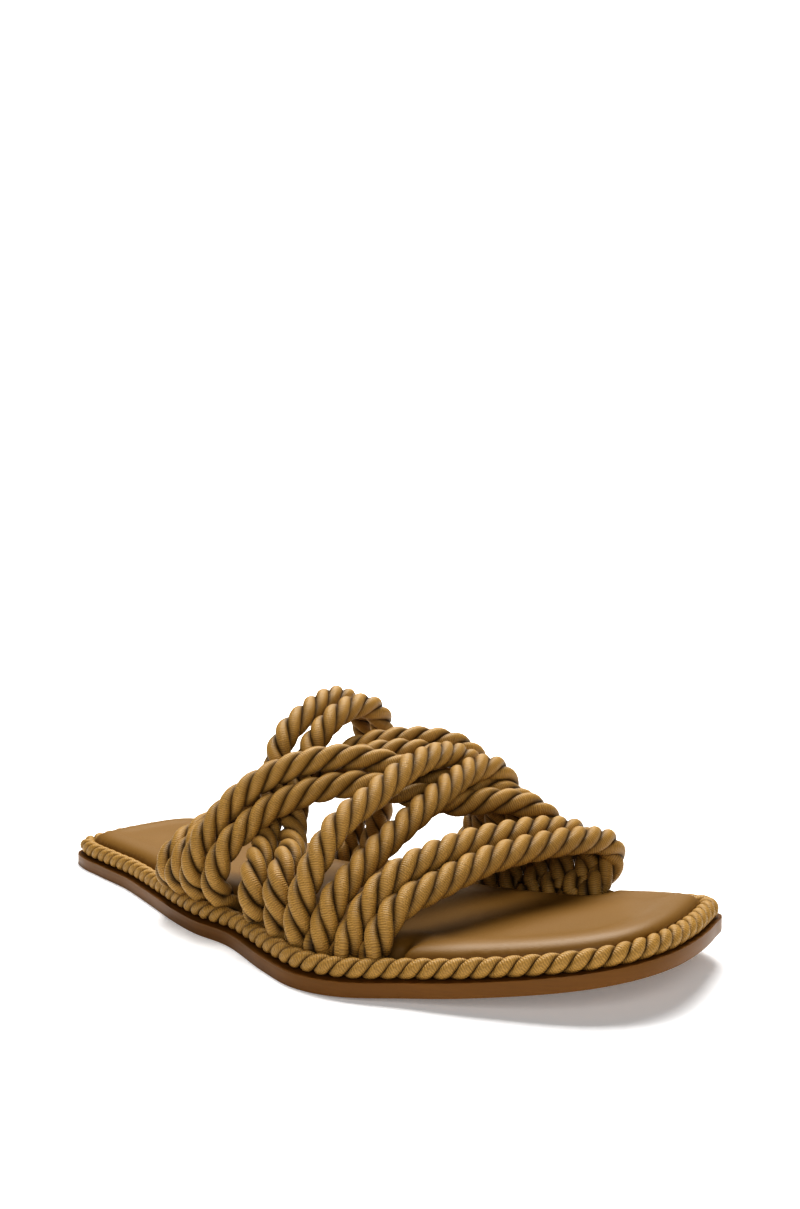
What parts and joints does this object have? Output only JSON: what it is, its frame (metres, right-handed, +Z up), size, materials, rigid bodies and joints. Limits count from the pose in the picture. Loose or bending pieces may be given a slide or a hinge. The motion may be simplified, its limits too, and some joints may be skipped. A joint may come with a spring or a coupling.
{
  "type": "rope sandal",
  "caption": "Flat rope sandal for the right foot: thin outsole, padded footbed, rope welt and an open upper of crossing twisted ropes.",
  "frame": {"origin": "on the floor, on the heel's middle line, halfway along the sole's length", "axes": "+X to the outside of the right foot, +Y to the toe, +Z up from the floor"},
  "size_m": [0.107, 0.2437, 0.0721],
  "materials": {
    "outsole_leather": "smooth brown leather, edges dyed and waxed",
    "footbed_leather": "soft tan leather with a low sheen, rolled over a thin padding",
    "satin_rope": "golden tan satin thread laid as twisted rope"
  },
  "bodies": {
    "root": {"outsole": "outsole_leather", "footbed": "footbed_leather", "rope_welt": "satin_rope", "rope_upper": "satin_rope"}
  },
  "joints": []
}
